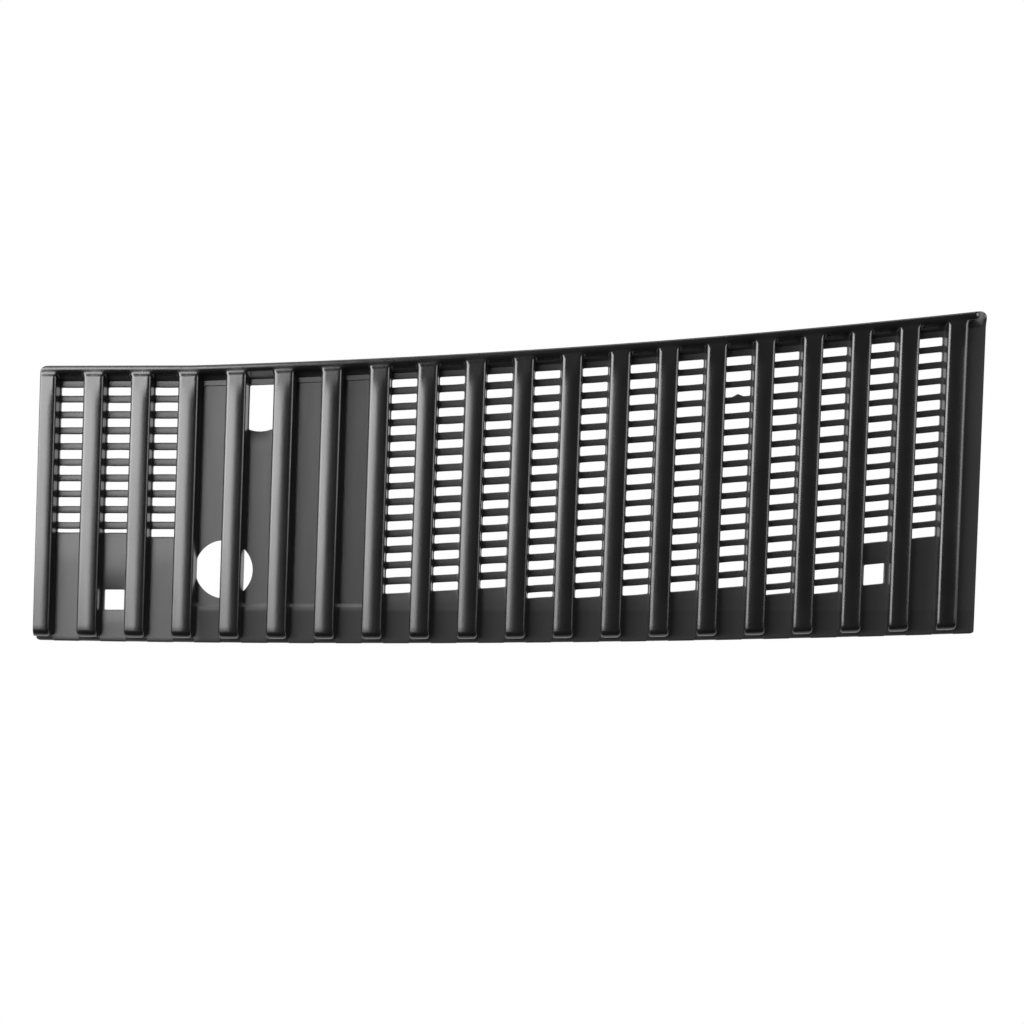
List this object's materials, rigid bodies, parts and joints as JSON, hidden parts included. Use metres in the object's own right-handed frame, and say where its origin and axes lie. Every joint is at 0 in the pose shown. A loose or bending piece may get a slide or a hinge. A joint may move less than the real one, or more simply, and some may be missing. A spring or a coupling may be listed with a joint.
{
  "type": "car bonnet vent panel",
  "caption": "Black moulded vent panel for the rear of a car bonnet: fore-and-aft ribs on a slotted, gently crowned floor.",
  "frame": {"origin": "bottom centre of the whole panel, on the surface that it lies on", "axes": "+X along the panel, towards the end with the flat flange; +Y towards its curved rear edge, the windscreen side; +Z out of the ribbed face"},
  "size_m": [0.4804, 0.1672, 0.0168],
  "materials": {
    "black_plastic": "fine moulded grain, satin, unpainted"
  },
  "bodies": {
    "root": {"vent_grille": "black_plastic"}
  },
  "joints": []
}
